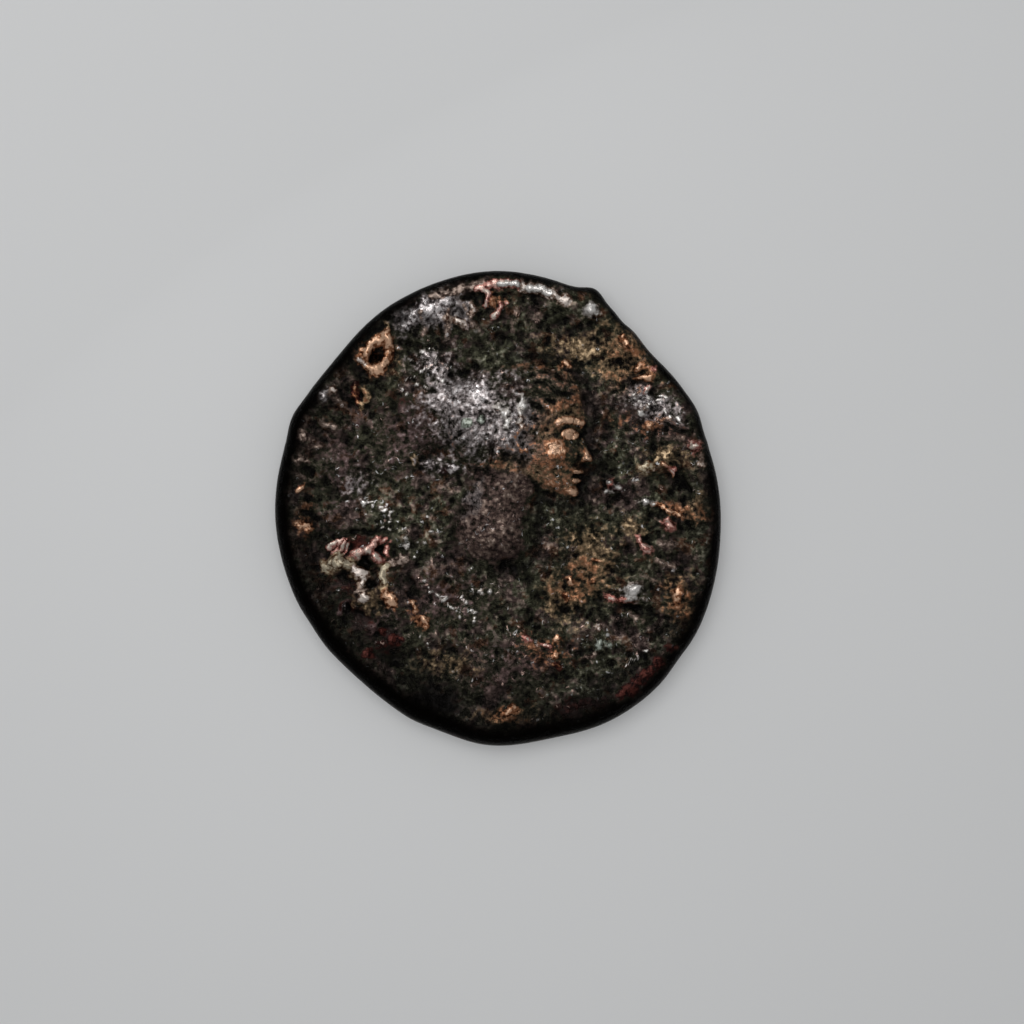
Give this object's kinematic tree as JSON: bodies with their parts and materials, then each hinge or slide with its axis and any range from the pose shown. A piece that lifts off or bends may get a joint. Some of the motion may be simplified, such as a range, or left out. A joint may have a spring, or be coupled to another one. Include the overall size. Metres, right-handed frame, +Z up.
{
  "type": "ancient struck coin",
  "caption": "Small worn copper coin of uneven outline, with a bare head facing right on one side and a star in a wreath on the other.",
  "frame": {"origin": "centre of the bounding box's bottom face, on the table the coin lies on", "axes": "+Z up out of the side with the head, +Y towards the top of the head, +X the way the head faces"},
  "size_m": [0.018, 0.019, 0.0021],
  "materials": {
    "patinated_copper": "dark, half glossy patina over copper, with bare copper on high points"
  },
  "bodies": {
    "root": {"coin": "patinated_copper"}
  },
  "joints": []
}
